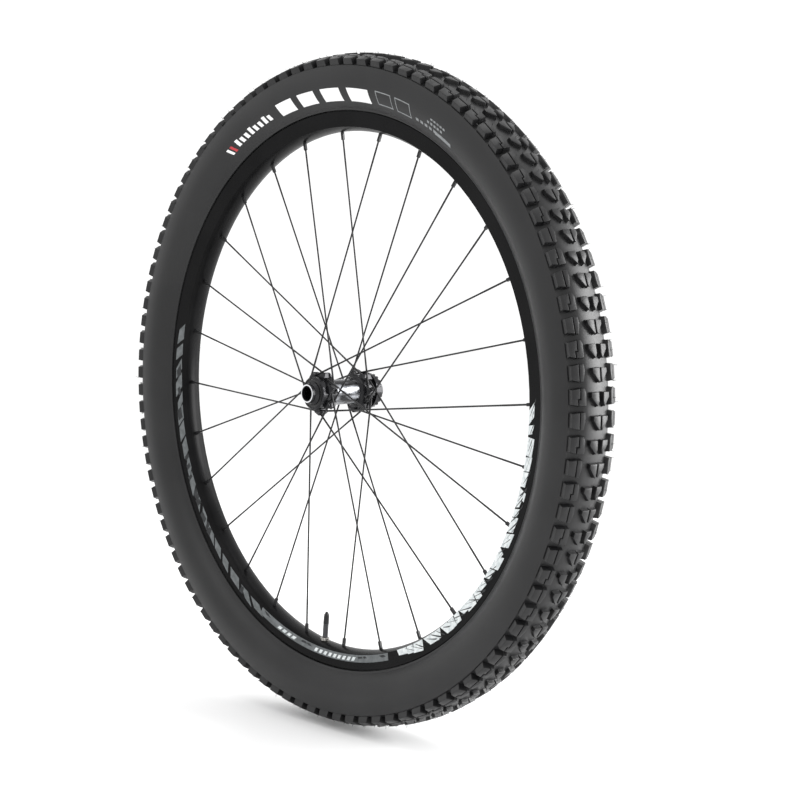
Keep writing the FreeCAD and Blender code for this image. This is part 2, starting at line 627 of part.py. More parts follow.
def make_shell_blank():
    """Hub shell before its spoke holes: barrel, flanges with lugs, rotor collar and spline."""
    shell_end = "(%s - shell_inset)" % half_hub
    bearing_seat = "(%s - bearing_inset - bearing_width)" % half_hub
    bore = "bearing_outer_radius + part_gap"
    right_inner = "(-(%s - right_flange_inset) + flange_width / 2)" % half_hub
    left_inner = "(%s - left_flange_inset - flange_width / 2)" % half_hub
    seat = "(%s - rotor_seat_inset)" % half_hub
    flare = crest_curve("barrel_flare", "flange_body_radius - barrel_radius")
    body = new_body("shell_blank")
    sketch = new_sketch(body, "shell_section", "XY_Plane")
    add_outline(sketch, (
        ("flange_body_radius - end_chamfer", "-" + shell_end),
        ("flange_body_radius", "-%s + end_chamfer" % shell_end),
        ("flange_body_radius", right_inner, flare, -1),
        ("barrel_radius", right_inner + " + barrel_flare"),
        ("barrel_radius", left_inner + " - barrel_flare", flare, -1),
        ("flange_body_radius", left_inner),
        ("flange_body_radius", seat + " - rotor_collar_width"),
        ("rotor_collar_radius", seat + " - rotor_collar_width"),
        ("rotor_collar_radius", seat),
        ("spline_root_radius", seat),
        ("spline_root_radius", shell_end + " - end_chamfer"),
        ("spline_root_radius - end_chamfer", shell_end),
        (bore, shell_end),
        (bore, bearing_seat),
        ("shell_bore", bearing_seat),
        ("shell_bore", "-" + bearing_seat),
        (bore, "-" + bearing_seat),
        (bore, "-" + shell_end),
    ))
    turned(body, sketch)
    for side, (way, inset, first_lug) in SIDES.items():
        top = "-(%d * (%s - %s)) - flange_width / 2" % (way, half_hub, inset)
        lug = new_sketch(body, side + "_lug", "XZ_Plane", ("0", "0", top, (0, 0, 1), "-" + first_lug))
        add_outline(lug, (
            ("-lug_half_width", "lug_root"),
            ("lug_half_width", "lug_root"),
            ("lug_half_width", "lug_shoulder"),
            ("lug_tip_half", "lug_tip"),
            ("-lug_tip_half", "lug_tip"),
            ("-lug_half_width", "lug_shoulder"),
        ))
        patterned(body, [padded(body, lug, "flange_width")], "lugs_per_flange")
        corners = new_sketch(body, side + "_lug_corners", "XY_Plane")
        for end in (-1, 1):
            edge = "%d * (%s - %s) + %d * flange_width / 2" % (way, half_hub, inset, end)
            past = "%s + %d * cut_margin" % (edge, end)
            add_outline(corners, (
                ("lug_shoulder", edge),
                ("lug_tip + cut_margin", "%s - %d * lug_corner" % (edge, end)),
                ("lug_tip + cut_margin", past),
                ("lug_shoulder", past),
            ))
        turned(body, corners, kind="PartDesign::Groove")
    tooth = new_sketch(body, "spline_tooth", "XZ_Plane",
                       ("0", "0", "-(%s - end_chamfer)" % shell_end, (0, 0, 1), "0deg"))
    add_outline(tooth, (
        ("-spline_tooth_half", "spline_root_radius - end_chamfer"),
        ("spline_tooth_half", "spline_root_radius - end_chamfer"),
        ("spline_tip_half", "spline_tip_radius"),
        ("-spline_tip_half", "spline_tip_radius"),
    ))
    patterned(body, [padded(body, tooth, "rotor_seat_inset - shell_inset - end_chamfer")], "spline_teeth")
    return body


groove_radius = "(ball_radius + running_gap)"


def from_face(way, distance):
    """Place along the axle, given as a distance inside the fork's face on one side."""
    return "%d * (%s - (%s))" % (way, half_hub, distance)


def race_section(way, back, face):
    """A bearing race: its back against its seat, its face with the ball groove."""
    middle = from_face(way, "bearing_inset + bearing_width / 2")
    groove = "sqrt(%s ^ 2 - (%s - pitch_radius) ^ 2)" % (groove_radius, face)
    bulge = -1 if face == "outer_race_bottom" else 1
    return (
        (back, middle + " - bearing_width / 2"),
        (back, middle + " + bearing_width / 2"),
        (face, middle + " + bearing_width / 2"),
        (face, "%s + %s" % (middle, groove), groove_radius, bulge),
        (face, "%s - %s" % (middle, groove)),
        (face, middle + " - bearing_width / 2"),
    )


def washer_section(inner, outer, near, far):
    return ((inner, near), (outer, near), (outer, far), (inner, far))


def first_ball(body, name, way):
    """A ball at the first of its places in the bearing."""
    ball = body.newObject("PartDesign::AdditiveSphere", name)
    ball.AttachmentSupport = [(origin_part(body, "XY_Plane"), "")]
    ball.MapMode = "FlatFace"
    bind(ball, "Radius", "ball_radius")
    bind(ball, "AttachmentOffset.Base.x", "pitch_radius")
    bind(ball, "AttachmentOffset.Base.y", from_face(way, "bearing_inset + bearing_width / 2"))
    doc.recompute()
    return ball


def make_bearing(side):
    way = SIDES[side][0]
    middle = from_face(way, "bearing_inset + bearing_width / 2")
    keep(ring_body(side + "_bearing_outer_race",
                   (race_section(way, "bearing_outer_radius", "outer_race_bottom"),)))
    keep(ring_body(side + "_bearing_inner_race",
                   (race_section(way, "bearing_inner_radius", "inner_race_top"),)))
    seals = []
    for face in (-1, 1):
        outside = "%s + %d * (bearing_width / 2 - seal_inset)" % (middle, face)
        inside = "%s + %d * (bearing_width / 2 - seal_inset - seal_thickness)" % (middle, face)
        seals.append(washer_section("inner_race_top + seal_gap", "outer_race_bottom - running_gap",
                                    inside, outside))
    keep(ring_body(side + "_bearing_seals", seals))
    balls = new_body(side + "_bearing_balls")
    patterned(balls, [first_ball(balls, side + "_ball", way)], "ball_count")
    keep(balls)
    cage = ring_body(side + "_bearing_cage", (
        washer_section("cage_inner", "cage_outer", middle + " - cage_half_width",
                       middle + " + cage_half_width"),))
    hole = new_sketch(cage, side + "_ball_pocket", "YZ_Plane")
    add_circle(hole, middle, "0", groove_radius)
    pocket = padded(cage, hole, "cage_outer + cut_margin", "PartDesign::Pocket")
    pocket.Reversed = True
    doc.recompute()
    patterned(cage, [pocket], "ball_count")
    keep(cage)


def make_axle_tube():
    end = "(%s - axle_end_inset)" % half_hub
    shoulder = "(%s - bearing_inset - bearing_width - part_gap)" % half_hub
    keep(ring_body("axle_tube", ((
        ("axle_bore_radius", "-" + end),
        ("axle_outer_radius", "-" + end),
        ("axle_outer_radius", "-" + shoulder),
        ("axle_shoulder_radius", "-" + shoulder),
        ("axle_shoulder_radius", shoulder),
        ("axle_outer_radius", shoulder),
        ("axle_outer_radius", end),
        ("axle_bore_radius", end),
    ),)))


def make_end_cap(side):
    """End cap that meets the fork, its O-ring on the axle tube and its dust seal in the shell."""
    way = SIDES[side][0]
    sleeve = "axle_outer_radius + part_gap"
    cone_end = "cap_nose_length + cap_cone_length"
    keep(ring_body(side + "_end_cap", ([(radius, from_face(way, inset)) for radius, inset in (
        ("axle_bore_radius", "0"),
        ("cap_nose_radius - cap_chamfer", "0"),
        ("cap_nose_radius", "cap_chamfer"),
        ("cap_nose_radius", "cap_nose_length"),
        ("seal_land", cone_end),
        ("seal_land", "bearing_inset - race_pad"),
        ("inner_race_top - running_gap", "bearing_inset - race_pad"),
        ("inner_race_top - running_gap", "bearing_inset - part_gap"),
        (sleeve, "bearing_inset - part_gap"),
        (sleeve, "ring_inset + ring_groove_half"),
        (sleeve + " + ring_groove_depth", "ring_inset + ring_groove_half"),
        (sleeve + " + ring_groove_depth", "ring_inset - ring_groove_half"),
        (sleeve, "ring_inset - ring_groove_half"),
        (sleeve, "axle_end_inset - part_gap"),
        ("axle_bore_radius", "axle_end_inset - part_gap"),
    )],)))
    keep(ring_body(side + "_end_cap_o_ring", (), ((
        "axle_outer_radius + part_gap + ring_section_radius", from_face(way, "ring_inset"),
        "ring_section_radius"),)))
    seal_start = "shell_inset + seal_lip_gap"
    keep(ring_body(side + "_dust_seal", (washer_section(
        "seal_land + part_gap", "bearing_outer_radius + part_gap - seal_lip_gap",
        from_face(way, seal_start), from_face(way, seal_start + " + dust_seal_width")),)))


# ---------------------------------------------------------------- valve

def valve_body(name, corners):
    """A piece turned round the valve's axis from (radius, distance in from the spoke bed)."""
    body = new_body(name)
    sketch = new_sketch(body, name + "_section", "XZ_Plane")
    add_outline(sketch, corners)
    turned(body, sketch)
    place_valve(body)
    return body


def make_valve():
    foot_top = "-(rim_drop - well_depth + tape_thickness + tube_gap + tube_thickness + valve_hole_clearance)"
    core_base = "stem_length + part_gap"
    core_top = "(stem_length + part_gap + core_top_height)"
    pin_tip = "(%s + pin_out)" % core_top
    cap_end = "(cap_start + cap_length)"
    keep(valve_body("valve_stem", (
        ("stem_bore", foot_top + " - stem_foot_height"),
        ("stem_foot_radius", foot_top + " - stem_foot_height"),
        ("stem_foot_radius", foot_top),
        ("stem_radius", foot_top),
        ("stem_radius", "stem_length - stem_neck"),
        ("stem_neck_radius", "stem_length - stem_neck"),
        ("stem_neck_radius", "stem_length"),
        ("stem_bore", "stem_length"),
    )))
    nut = valve_body("valve_lock_nut", (
        ("stem_radius + part_gap", "lock_nut_lift"),
        ("lock_nut_radius", "lock_nut_lift"),
        ("lock_nut_radius", "lock_nut_lift + lock_nut_height - lock_nut_slope"),
        ("lock_nut_radius - lock_nut_slope", "lock_nut_lift + lock_nut_height"),
        ("stem_radius + part_gap", "lock_nut_lift + lock_nut_height"),
    ))
    notch = new_sketch(nut, "grip_notch", "XY_Plane")
    add_circle(notch, "lock_nut_radius", "0", "notch_radius")
    pocket = padded(nut, notch, "lock_nut_lift + lock_nut_height + cut_margin", "PartDesign::Pocket")
    pocket.Reversed = True
    doc.recompute()
    patterned(nut, [pocket], "lock_nut_notches", "Z_Axis")
    keep(nut)
    keep(valve_body("valve_core_body", (
        ("core_bore", "stem_length - core_depth"),
        ("core_radius", "stem_length - core_depth"),
        ("core_radius", core_base),
        ("core_top_radius", core_base),
        ("core_top_radius", core_top),
        ("core_bore", core_top),
    )))
    keep(valve_body("valve_core_pin", (
        ("0", core_top + " - pin_in"),
        ("pin_radius", core_top + " - pin_in"),
        ("pin_radius", pin_tip + " - pin_radius / 2"),
        ("pin_radius / 2", pin_tip),
        ("0", pin_tip),
    )))
    keep(valve_body("valve_core_nut", (
        ("core_bore", core_top + " + part_gap"),
        ("core_nut_radius", core_top + " + part_gap"),
        ("core_nut_radius", core_top + " + core_nut_height - core_nut_slope"),
        ("core_nut_radius - core_nut_slope", core_top + " + core_nut_height"),
        ("core_bore", core_top + " + core_nut_height"),
    )))
    keep(valve_body("valve_cap", (
        ("cap_mouth_radius - cap_wall", "cap_start"),
        ("cap_mouth_radius", "cap_start"),
        ("cap_shoulder_radius", cap_end + " - cap_tip_length"),
        ("cap_tip_radius", cap_end),
        ("0", cap_end),
        ("0", "cap_start + cap_narrow_depth"),
        ("cap_narrow_radius", "cap_start + cap_narrow_depth"),
        ("cap_narrow_radius", "cap_start + cap_wide_depth"),
        ("cap_mouth_radius - cap_wall", "cap_start + cap_wide_depth"),
    )))


# ---------------------------------------------------------------- assembly

def build():
    groups = [(side, lacing) for side in SIDES for lacing in LACINGS]
    drills = [make_drill(side, lacing) for side, lacing in groups]
    valve_hole = make_valve_hole()
    drilling = doc.addObject("Part::Compound", "spoke_drilling")
    drilling.Links = drills
    rim_drilling = doc.addObject("Part::Compound", "rim_drilling")
    rim_drilling.Links = drills + [valve_hole]
    make_tyre()
    tube = ring_body("tube_blank", (tube_outline("0"), tube_outline("tube_thickness")))
    cut_from(tube, valve_hole, "inner_tube")
    tape = ring_body("tape_blank", (washer_section(
        well_radius + " + part_gap", well_radius + " + tape_thickness", "-tape_half_width",
        "tape_half_width"),))
    cut_from(tape, valve_hole, "rim_tape")
    cut_from(make_rim_blank(), rim_drilling, "rim")
    cut_from(make_shell_blank(), drilling, "hub_shell")
    for side, lacing in groups:
        make_spokes(side, lacing)
        make_nipples(side, lacing)
    for side in SIDES:
        make_bearing(side)
        make_end_cap(side)
    make_axle_tube()
    make_valve()
    doc.recompute()


def check_and_write():
    failed = [thing.Name for thing in doc.Objects if {"Invalid", "Error"} & set(thing.State)]
    unsound = [thing.Label for thing in subparts if thing.Shape.isNull() or not thing.Shape.isValid()]
    if failed or unsound:
        raise RuntimeError("failed objects %s, unsound shapes %s" % (failed, unsound))
    os.makedirs("parts", exist_ok=True)
    for thing in subparts:
        thing.Shape.exportStep("parts/%s.step" % thing.Label)
        print("%-28s %2d solids %10.2f mm3" % (thing.Label, len(thing.Shape.Solids), thing.Shape.Volume))


build()
check_and_write()
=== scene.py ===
import math
import random

import bpy
from mathutils import Matrix, Vector


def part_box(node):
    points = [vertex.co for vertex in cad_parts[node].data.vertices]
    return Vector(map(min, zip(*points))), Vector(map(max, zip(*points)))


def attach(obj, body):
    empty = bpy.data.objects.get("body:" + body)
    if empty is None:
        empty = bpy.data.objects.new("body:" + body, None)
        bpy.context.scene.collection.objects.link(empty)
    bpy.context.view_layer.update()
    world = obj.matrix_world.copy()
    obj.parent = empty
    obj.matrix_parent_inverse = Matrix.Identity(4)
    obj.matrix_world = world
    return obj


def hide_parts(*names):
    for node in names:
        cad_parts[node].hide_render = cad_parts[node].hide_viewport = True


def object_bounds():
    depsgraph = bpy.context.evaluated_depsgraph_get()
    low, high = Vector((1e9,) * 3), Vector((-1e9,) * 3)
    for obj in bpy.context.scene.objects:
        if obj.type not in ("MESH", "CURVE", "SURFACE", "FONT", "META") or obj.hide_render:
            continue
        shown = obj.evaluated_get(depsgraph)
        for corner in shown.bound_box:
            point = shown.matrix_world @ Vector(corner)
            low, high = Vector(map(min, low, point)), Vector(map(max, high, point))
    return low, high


# Looks of the front wheel. Lengths are in metres, in the CAD frame: Y is the axle, -Y is the side that
# faces the camera, +Z is up. Angles round the wheel run from +Z towards +X.

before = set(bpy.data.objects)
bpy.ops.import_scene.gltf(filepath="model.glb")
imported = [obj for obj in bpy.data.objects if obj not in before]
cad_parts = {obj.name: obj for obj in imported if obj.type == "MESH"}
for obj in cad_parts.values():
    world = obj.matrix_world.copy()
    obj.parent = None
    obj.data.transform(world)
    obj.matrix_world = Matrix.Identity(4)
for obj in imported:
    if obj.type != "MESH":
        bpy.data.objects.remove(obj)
cad_low, cad_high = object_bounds()

MM = 0.001
WHEEL = "wheel"
tyre_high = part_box("tyre")[1]
rim_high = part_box("rim")[1]
TYRE_R = round(tyre_high.z, 3)
TYRE_HALF = tyre_high.y
RIM_R = rim_high.z
RIM_HALF = rim_high.y


# ------------------------------------------------------------------ meshes

def around(angle, across, radius):
    """A point at an angle round the wheel, a place along the axle and a radius."""
    return Vector((radius * math.sin(angle), across, radius * math.cos(angle)))


class Shell:
    """Collects vertices and faces for one mesh object."""

    def __init__(self):
        self.points = []
        self.faces = []

    def ring(self, points):
        start = len(self.points)
        self.points.extend(points)
        return list(range(start, start + len(points)))

    def bridge(self, lower, upper):
        """Quads between two closed rings of the same length."""
        count = len(lower)
        for i in range(count):
            j = (i + 1) % count
            self.faces.append((lower[i], lower[j], upper[j], upper[i]))

    def cap(self, ring, flip=False):
        self.faces.append(tuple(reversed(ring)) if flip else tuple(ring))

    def build(self, name, material, smooth_angle=35):
        mesh = bpy.data.meshes.new(name)
        mesh.from_pydata([tuple(p) for p in self.points], [], self.faces)
        mesh.validate()
        thing = bpy.data.objects.new(name, mesh)
        bpy.context.scene.collection.objects.link(thing)
        thing.data.materials.append(material)
        bpy.context.view_layer.objects.active = thing
        for other in bpy.context.selected_objects:
            other.select_set(False)
        thing.select_set(True)
        bpy.ops.object.mode_set(mode="EDIT")
        bpy.ops.mesh.select_all(action="SELECT")
        bpy.ops.mesh.normals_make_consistent(inside=False)
        bpy.ops.object.mode_set(mode="OBJECT")
        bpy.ops.object.shade_smooth_by_angle(angle=math.radians(smooth_angle))
        return thing


def arc(first, last, radius, turn, count):
    """Points of an arc from first to last, both (radius, across) pairs, without the first point."""
    a, b = Vector(first), Vector(last)
    chord = b - a
    left = Vector((-chord.y, chord.x)).normalized()
    centre = (a + b) / 2 + left * turn * math.sqrt(radius ** 2 - (chord.length / 2) ** 2)
    start = math.atan2(a.y - centre.y, a.x - centre.x)
    sweep = math.atan2(b.y - centre.y, b.x - centre.x) - start
    sweep = (sweep + math.pi) % (2 * math.pi) - math.pi
    return [(centre.x + radius * math.cos(start + sweep * k / count),
             centre.y + radius * math.sin(start + sweep * k / count)) for k in range(1, count + 1)]


def place_on_profile(profile, radius):
    """Half width of the outside at a radius, from a profile that climbs in radius."""
    if radius < profile[0][0]:
        return profile[0][1]
    for (r0, y0), (r1, y1) in zip(profile, profile[1:]):
        if r0 <= radius <= r1 and r1 > r0:
            return y0 + (y1 - y0) * (radius - r0) / (r1 - r0)
    return profile[-1][1]


# ------------------------------------------------------------------ materials

def tree_of(material):
    material.use_nodes = True
    tree = material.node_tree
    shader = tree.nodes["Principled BSDF"]
    return tree, shader


def noise(tree, scale, detail=4.0, stretch=None):
    """Noise in object space; stretch scales the three axes before it."""
    where = tree.nodes.new("ShaderNodeTexCoord").outputs["Object"]
    if stretch:
        mapping = tree.nodes.new("ShaderNodeMapping")
        mapping.inputs["Scale"].default_value = stretch
        tree.links.new(where, mapping.inputs["Vector"])
        where = mapping.outputs["Vector"]
    texture = tree.nodes.new("ShaderNodeTexNoise")
    texture.inputs["Scale"].default_value = scale
    texture.inputs["Detail"].default_value = detail
    tree.links.new(where, texture.inputs["Vector"])
    return texture.outputs["Fac"]


def spread(tree, source, low, high, from_low=0.35, from_high=0.65):
    """A value taken from one range to another."""
    node = tree.nodes.new("ShaderNodeMapRange")
    for socket, value in (("From Min", from_low), ("From Max", from_high), ("To Min", low), ("To Max", high)):
        node.inputs[socket].default_value = value
    tree.links.new(source, node.inputs["Value"])
    return node.outputs["Result"]


def blend_colours(tree, factor, first, second):
    node = tree.nodes.new("ShaderNodeMix")
    node.data_type = "RGBA"
    tree.links.new(factor, node.inputs["Factor"])
    for socket, colour in ((node.inputs[6], first), (node.inputs[7], second)):
        if isinstance(colour, tuple):
            socket.default_value = (*colour, 1.0)
        else:
            tree.links.new(colour, socket)
    return node.outputs[2]


def surface(name, colour, worn, roughness, metallic=0.0, grain=900.0, height=0.00004, patches=35.0,
            stretch=None, specular=0.5):
    """A material whose colour drifts between two shades in patches, with fine grain in gloss and bump."""
    material = bpy.data.materials.new(name)
    tree, shader = tree_of(material)
    shader.inputs["Metallic"].default_value = metallic
    shader.inputs["Specular IOR Level"].default_value = specular
    drift = spread(tree, noise(tree, patches, 3.0), 0.0, 1.0)
    tree.links.new(blend_colours(tree, drift, colour, worn), shader.inputs["Base Color"])
    fine = noise(tree, grain, 2.0, stretch)
    tree.links.new(spread(tree, fine, roughness[0], roughness[1]), shader.inputs["Roughness"])
    bump = tree.nodes.new("ShaderNodeBump")
    bump.inputs["Strength"].default_value = 0.6
    bump.inputs["Distance"].default_value = height
    tree.links.new(fine, bump.inputs["Height"])
    tree.links.new(bump.outputs["Normal"], shader.inputs["Normal"])
    return material


def band(tree, source, low, high, soft):
    """1 where a value lies between two limits, softened at both."""
    node = tree.nodes.new("ShaderNodeMath")
    node.operation = "MULTIPLY"
    tree.links.new(spread(tree, source, 0.0, 1.0, low - soft, low + soft), node.inputs[0])
    tree.links.new(spread(tree, source, 1.0, 0.0, high - soft, high + soft), node.inputs[1])
    return node.outputs["Value"]


def place_in_wheel(tree):
    """Place along the axle, and distance from it."""
    where = tree.nodes.new("ShaderNodeTexCoord").outputs["Object"]
    split = tree.nodes.new("ShaderNodeSeparateXYZ")
    tree.links.new(where, split.inputs["Vector"])
    flat = tree.nodes.new("ShaderNodeVectorMath")
    flat.operation = "MULTIPLY"
    flat.inputs[1].default_value = (1.0, 0.0, 1.0)
    tree.links.new(where, flat.inputs[0])
    reach = tree.nodes.new("ShaderNodeVectorMath")
    reach.operation = "LENGTH"
    tree.links.new(flat.outputs["Vector"], reach.inputs[0])
    return split.outputs["Y"], reach.outputs["Value"]


def recolour(material, mask, colour):
    """Give a material another colour where a mask is 1."""
    tree, shader = tree_of(material)
    base = shader.inputs["Base Color"].links[0].from_socket
    tree.links.new(blend_colours(tree, mask, base, colour), shader.inputs["Base Color"])


# Each is from, to and softness: the hub's barrel along the axle, where reflections are painted, and the caps'
# bright ring by radius.
BARREL = (-21.0 * MM, 12.0 * MM, 1.2 * MM)
# The cap ring's inner limit leaves the face dark inside it, as the painted shade of a chamfer.
CAP_RING_AND_SHADE = (8.4 * MM, 9.6 * MM, 0.1 * MM)


def paint_barrel_reflections(material):
    """Painted reflections: pale streaks along the hub's barrel, standing in for the bright room that polished
    metal reflects.
    """
    tree = material.node_tree
    reflection_streak = spread(tree, noise(tree, 140.0, 2.0, (1.0, 0.35, 1.0)), 0.0, 1.0, 0.42, 0.62)
    painted_reflection = tree.nodes.new("ShaderNodeMath")
    painted_reflection.operation = "MULTIPLY"
    tree.links.new(reflection_streak, painted_reflection.inputs[0])
    tree.links.new(band(tree, place_in_wheel(tree)[0], *BARREL), painted_reflection.inputs[1])
    # The pale colour laid over the barrel is a painted reflection.
    recolour(material, painted_reflection.outputs["Value"], (0.30, 0.31, 0.33))


def ring_cap_with_painted_shade(material):
    """A bright machined ring on the end caps' faces; inside it the face keeps its dark colour as the painted
    shade of a chamfer.
    """
    tree = material.node_tree
    recolour(material, band(tree, place_in_wheel(tree)[1], *CAP_RING_AND_SHADE), (0.80, 0.81, 0.83))


rubber = surface("tyre_rubber", (0.008, 0.008, 0.0085), (0.012, 0.012, 0.0125), (0.34, 0.44),
                 grain=1400.0, height=0.00004, patches=14.0, specular=0.34)
knob_rubber = surface("knob_rubber", (0.006, 0.006, 0.0065), (0.012, 0.012, 0.0125), (0.32, 0.44),
                      grain=1100.0, height=0.00004, patches=60.0, specular=0.34)
rim_black = surface("rim_black", (0.003, 0.003, 0.0032), (0.005, 0.005, 0.0053), (0.24, 0.34),
                    grain=2600.0, height=0.00002, patches=20.0, specular=0.07)
spoke_black = surface("spoke_black", (0.008, 0.008, 0.0085), (0.014, 0.014, 0.015), (0.30, 0.42),
                      grain=1500.0, height=0.00001, patches=90.0, specular=0.3)
hub_black = surface("hub_black", (0.010, 0.010, 0.011), (0.016, 0.016, 0.018), (0.16, 0.26), metallic=0.5,
                    grain=900.0, height=0.00002, patches=60.0, stretch=(1.0, 9.0, 1.0), specular=0.4)
paint_barrel_reflections(hub_black)
cap_metal = surface("cap_metal", (0.012, 0.012, 0.013), (0.02, 0.02, 0.022), (0.2, 0.3), metallic=0.6,
                    grain=1200.0, height=0.00001, patches=80.0, stretch=(1.0, 12.0, 1.0))
ring_cap_with_painted_shade(cap_metal)
axle_metal = surface("axle_metal", (0.03, 0.03, 0.032), (0.05, 0.05, 0.055), (0.22, 0.34), metallic=0.95,
                     grain=1200.0, height=0.00001, stretch=(1.0, 14.0, 1.0))
bright_steel = surface("bright_steel", (0.55, 0.55, 0.57), (0.62, 0.62, 0.64), (0.12, 0.2), metallic=1.0)
nickel = surface("nickel", (0.26, 0.25, 0.24), (0.36, 0.35, 0.33), (0.22, 0.34), metallic=1.0)
brass = surface("brass", (0.60, 0.45, 0.22), (0.70, 0.54, 0.28), (0.24, 0.36), metallic=1.0)
cage_plastic = surface("cage_plastic", (0.20, 0.15, 0.08), (0.26, 0.20, 0.11), (0.4, 0.5))
seal_rubber = surface("seal_rubber", (0.012, 0.012, 0.012), (0.02, 0.02, 0.02), (0.45, 0.6))
tube_rubber = surface("tube_rubber", (0.022, 0.022, 0.022), (0.03, 0.03, 0.03), (0.5, 0.65))
tape_plastic = surface("tape_plastic", (0.62, 0.42, 0.06), (0.70, 0.50, 0.10), (0.35, 0.5))
cap_plastic = surface("cap_plastic", (0.008, 0.008, 0.009), (0.012, 0.012, 0.013), (0.28, 0.4), specular=0.3)
valve_black = surface("valve_black", (0.03, 0.03, 0.032), (0.06, 0.06, 0.064), (0.28, 0.4), metallic=0.5)
white_print = surface("white_print", (0.84, 0.84, 0.84), (0.90, 0.90, 0.90), (0.42, 0.55), grain=1600.0,
                      height=0.00002, patches=120.0)
pale_print = surface("pale_print", (0.50, 0.54, 0.55), (0.72, 0.75, 0.75), (0.3, 0.42), patches=240.0)
grey_print = surface("grey_print", (0.09, 0.098, 0.10), (0.14, 0.15, 0.155), (0.3, 0.42), patches=160.0,
                     specular=0.25)
dark_print = surface("dark_print", (0.016, 0.017, 0.018), (0.03, 0.032, 0.034), (0.3, 0.42), patches=260.0,
                     specular=0.2)
line_print = surface("line_print", (0.17, 0.18, 0.185), (0.25, 0.26, 0.265), (0.42, 0.55), patches=200.0)
red_print = surface("red_print", (0.42, 0.02, 0.03), (0.55, 0.03, 0.04), (0.42, 0.55), patches=150.0)

NODE_MATERIALS = {
    "rim": rim_black, "rim_tape": tape_plastic, "inner_tube": tube_rubber, "hub_shell": hub_black,
    "axle_tube": axle_metal, "valve_stem": valve_black, "valve_lock_nut": nickel, "valve_core_body": brass,
    "valve_core_pin": brass, "valve_core_nut": brass, "valve_cap": cap_plastic,
}
ENDINGS = {
    "_spokes": spoke_black, "_nipples": spoke_black, "_race": bright_steel, "_balls": bright_steel,
    "_cage": cage_plastic, "_seals": seal_rubber, "_o_ring": seal_rubber, "_dust_seal": seal_rubber,
    "_end_cap": cap_metal,
}


def dress_cad_nodes():
    for name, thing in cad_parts.items():
        material = NODE_MATERIALS.get(name)
        for ending, choice in ENDINGS.items():
            if name.endswith(ending):
                material = choice
        if material:
            thing.data.materials.clear()
            thing.data.materials.append(material)


dress_cad_nodes()


# ------------------------------------------------------------------ tyre

CROWN_DROP = 8.0 * MM
TREAD_HALF = 27.5 * MM
KNOB = 4.2 * MM
SHOULDER_DROP = 3.4 * MM
SHOULDER_START = 13.0 * MM
LIP_TOP = RIM_R + 0.6 * MM
WIDEST_R = TYRE_R - 29.7 * MM
BEAD_HALF = RIM_HALF - 2.15 * MM
SIDEWALL_CURVE = 39.0 * MM
SHOULDER_CURVE = 60.0 * MM
WALL = 2.0 * MM
SEGMENTS = 360


def crown(across, height=0.0):
    """Radius of the tread's outside, less the centre knobs' height, plus a height above that."""
    return TYRE_R - CROWN_DROP * (across / TREAD_HALF) ** 2 - KNOB + height


def extra_depth(across):
    """How much deeper than at the centre the casing lies between the side knobs."""
    part = min(1.0, max(0.0, (abs(across) - SHOULDER_START) / (TREAD_HALF - SHOULDER_START)))
    return SHOULDER_DROP * part * part * (3 - 2 * part)


def half_outside():
    """Outside of one half of the casing, from the bead's heel to the tread's middle."""
    points = [(RIM_R - 5.2 * MM, BEAD_HALF), (LIP_TOP, BEAD_HALF), (LIP_TOP, RIM_HALF + 0.4 * MM)]
    points += [(LIP_TOP + 0.2 * MM, RIM_HALF + 1.3 * MM), (LIP_TOP + 1.3 * MM, RIM_HALF + 2.0 * MM)]
    points += [(LIP_TOP + 2.1 * MM, RIM_HALF + 2.1 * MM)]
    points += arc(points[-1], (WIDEST_R, TYRE_HALF), SIDEWALL_CURVE, -1, 14)
    shoulder = (crown(TREAD_HALF) - SHOULDER_DROP, TREAD_HALF + 0.9 * MM)
    points += arc(points[-1], shoulder, SHOULDER_CURVE, -1, 9)
    steps = 14
    for k in range(1, steps):
        across = TREAD_HALF * (1 - k / steps)
        points.append((crown(across) - extra_depth(across), across))
    return points


def half_inside():
    """Inside of the same half, from the tread's middle back to the bead's toe."""
    points = [(TYRE_R - 7.6 * MM, 12 * MM)]
    points += arc(points[-1], (WIDEST_R, TYRE_HALF - WALL), 24 * MM, 1, 8)
    points += arc(points[-1], (RIM_R + 0.8 * MM, 10.8 * MM), 37 * MM, 1, 8)
    points += [(RIM_R - 5.35 * MM, BEAD_HALF - 3.4 * MM)]
    return points


OUTSIDE = half_outside()


def make_casing(shell):
    right = [(r, -y) for r, y in OUTSIDE]
    left = [(r, y) for r, y in reversed(OUTSIDE)]
    inner = half_inside()
    loop = right + [(crown(0.0), 0.0)] + left + [(r, y) for r, y in reversed(inner)]
    loop += [(r, -y) for r, y in inner]
    rings = []
    for k in range(SEGMENTS):
        angle = 2 * math.pi * k / SEGMENTS
        rings.append(shell.ring([around(angle, y, r) for r, y in loop]))
    for k in range(SEGMENTS):
        shell.bridge(rings[k], rings[(k + 1) % SEGMENTS])


def on_tread(along, across, height):
    """A point above the tread's base: along is the way round at the tyre's radius."""
    slope = -2 * CROWN_DROP * across / TREAD_HALF ** 2
    length = math.hypot(1.0, slope)
    lift = height / length
    return around(along / TYRE_R, across - slope * lift, crown(across) + lift)


def inset_outline(outline, amount):
    """The outline moved in by an amount at every corner; it runs counter-clockwise."""
    result = []
    count = len(outline)
    for i in range(count):
        here = Vector(outline[i])
        before = (here - Vector(outline[i - 1])).normalized()
        after = (Vector(outline[(i + 1) % count]) - here).normalized()
        normal = Vector((-(before.y + after.y), before.x + after.x))
        if normal.length < 1e-9:
            normal = Vector((-before.y, before.x))
        normal.normalize()
        scale = amount / max(0.35, normal.dot(Vector((-before.y, before.x))))
        result.append(tuple(here + normal * scale))
    return result


def area_of(outline):
    pairs = zip(outline, outline[1:] + outline[:1])
    return sum(a[0] * b[1] - b[0] * a[1] for a, b in pairs) / 2


